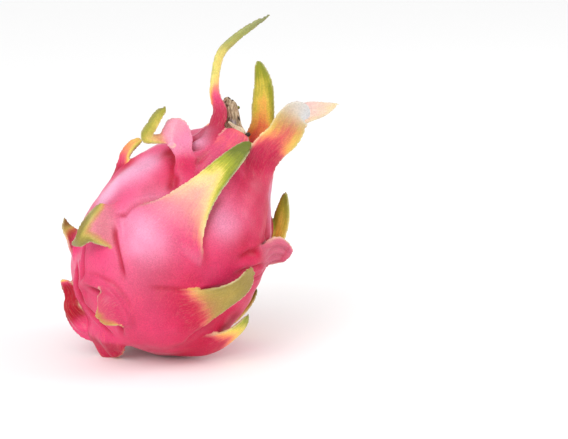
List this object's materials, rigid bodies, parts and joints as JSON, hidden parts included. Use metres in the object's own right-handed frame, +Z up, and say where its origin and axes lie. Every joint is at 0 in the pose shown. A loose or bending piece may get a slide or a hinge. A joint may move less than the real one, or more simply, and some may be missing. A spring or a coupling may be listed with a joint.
{
  "type": "dragon fruit",
  "caption": "Whole pitaya resting on its belly: a stout oval fruit with leafy scales that curl away from the skin, a tuft of long straps and a dried flower remnant at one end.",
  "frame": {"origin": "middle of the small flat spot on the belly that the fruit rests on", "axes": "+Z up; the flower end points up and to +X, the stem end down and to -X; -Y is the side that faces the viewer"},
  "size_m": [0.1394, 0.1055, 0.1709],
  "materials": {
    "skin": "softly glossy fresh skin, pink, with yellow to olive green scale tips",
    "dried_flower": "dry, fibrous and matt",
    "stem_wood": "rough, cut woody tissue"
  },
  "bodies": {
    "root": {"fruit": "skin", "dried_flower": "dried_flower", "stem_stub": "stem_wood"}
  },
  "joints": []
}
